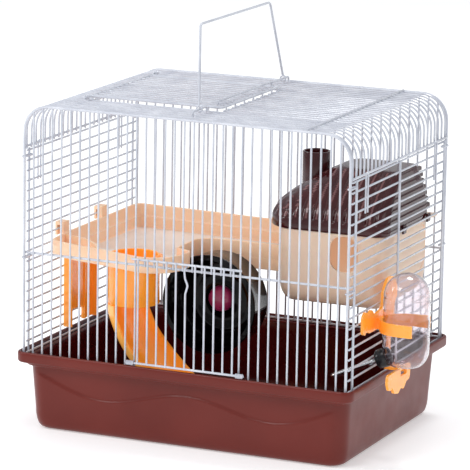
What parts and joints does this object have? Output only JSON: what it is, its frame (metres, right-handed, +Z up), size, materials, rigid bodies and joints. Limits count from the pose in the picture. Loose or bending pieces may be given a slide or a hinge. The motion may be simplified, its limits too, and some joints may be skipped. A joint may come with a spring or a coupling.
{
  "type": "hamster cage",
  "caption": "Small wire hamster cage on a plastic tray with a front door, a roof door, a carrying handle, an upper floor, a house, a running wheel, a chute and a water bottle.",
  "frame": {"origin": "middle of the tray's underside", "axes": "+Z up, -Y the front with the door, +X the side with the water bottle"},
  "size_m": [0.3807, 0.2543, 0.3851],
  "materials": {
    "white_wire": "thick white enamel coating on wire",
    "peach_plastic": "soft gloss",
    "orange_plastic": "slightly translucent, glossy",
    "brown_plastic": "high gloss, dark brown",
    "smoked_plastic": "very dark smoked translucent",
    "black_plastic": "glossy black",
    "magenta_plastic": "glossy, ribbed",
    "burgundy_plastic": "glossy, slightly see-through burgundy",
    "clear_plastic": "clear",
    "steel": "polished"
  },
  "bodies": {
    "tray": {"base_tray": "burgundy_plastic"},
    "cage": {"front_panel": "white_wire", "back_panel": "white_wire", "left_panel": "white_wire", "right_panel": "white_wire", "roof_panel": "white_wire", "corner_ring_front_left_low": "white_wire", "corner_ring_front_left_high": "white_wire", "corner_ring_front_right_low": "white_wire", "corner_ring_front_right_high": "white_wire", "corner_ring_back_left_low": "white_wire", "corner_ring_back_left_high": "white_wire", "corner_ring_back_right_low": "white_wire", "corner_ring_back_right_high": "white_wire", "roof_clip_left_front": "white_wire", "roof_clip_left_back": "white_wire", "roof_clip_right_front": "white_wire", "roof_clip_right_back": "white_wire", "roof_door_hinge_front": "white_wire", "roof_door_hinge_back": "white_wire", "front_door_hinge_left": "white_wire", "front_door_hinge_right": "white_wire", "handle_pivot_front": "white_wire", "handle_pivot_back": "white_wire", "platform": "peach_plastic", "platform_leg": "orange_plastic", "chute_collar": "orange_plastic", "chute_slide": "orange_plastic", "house_body": "peach_plastic", "wheel_axle": "smoked_plastic", "wheel_hanger": "smoked_plastic", "bottle_bracket": "orange_plastic"},
    "front_door": {"front_door": "white_wire", "front_door_latch": "white_wire"},
    "roof_door": {"roof_door": "white_wire", "roof_door_latch": "white_wire"},
    "handle": {"carry_handle": "white_wire"},
    "wheel": {"wheel_drum": "smoked_plastic", "wheel_hub": "magenta_plastic"},
    "house_lid": {"house_roof": "brown_plastic", "chimney": "brown_plastic", "house_clip_front": "brown_plastic", "house_clip_back": "brown_plastic"},
    "water_bottle": {"bottle": "clear_plastic", "bottle_cap": "black_plastic", "drinking_tube": "steel"}
  },
  "joints": [
    {"name": "cage_lift", "type": "slide", "parent": "tray", "child": "cage", "axis": [0, 0, 1], "range_m": [0, 0.08]},
    {"name": "front_door_hinge", "type": "hinge", "parent": "cage", "child": "front_door", "pos_m": [0.0047, -0.1243, 0.0768], "axis": [1, 0, 0], "range_deg": [0, 100]},
    {"name": "roof_door_hinge", "type": "hinge", "parent": "cage", "child": "roof_door", "pos_m": [-0.12, 0, 0.3077], "axis": [0, -1, 0], "range_deg": [0, 110]},
    {"name": "handle_swing", "type": "hinge", "parent": "cage", "child": "handle", "pos_m": [0, 0, 0.3092], "axis": [0, 1, 0], "range_deg": [-80, 96]},
    {"name": "wheel_spin", "type": "hinge", "parent": "cage", "child": "wheel", "pos_m": [-0.004, -0.03, 0.121], "axis": [0, 1, 0], "continuous": true},
    {"name": "house_lid_lift", "type": "slide", "parent": "cage", "child": "house_lid", "axis": [0, 0, 1], "range_m": [0, 0.04]},
    {"name": "bottle_pull", "type": "slide", "parent": "cage", "child": "water_bottle", "axis": [0.9063, 0, 0.4226], "range_m": [0, 0.07]}
  ]
}
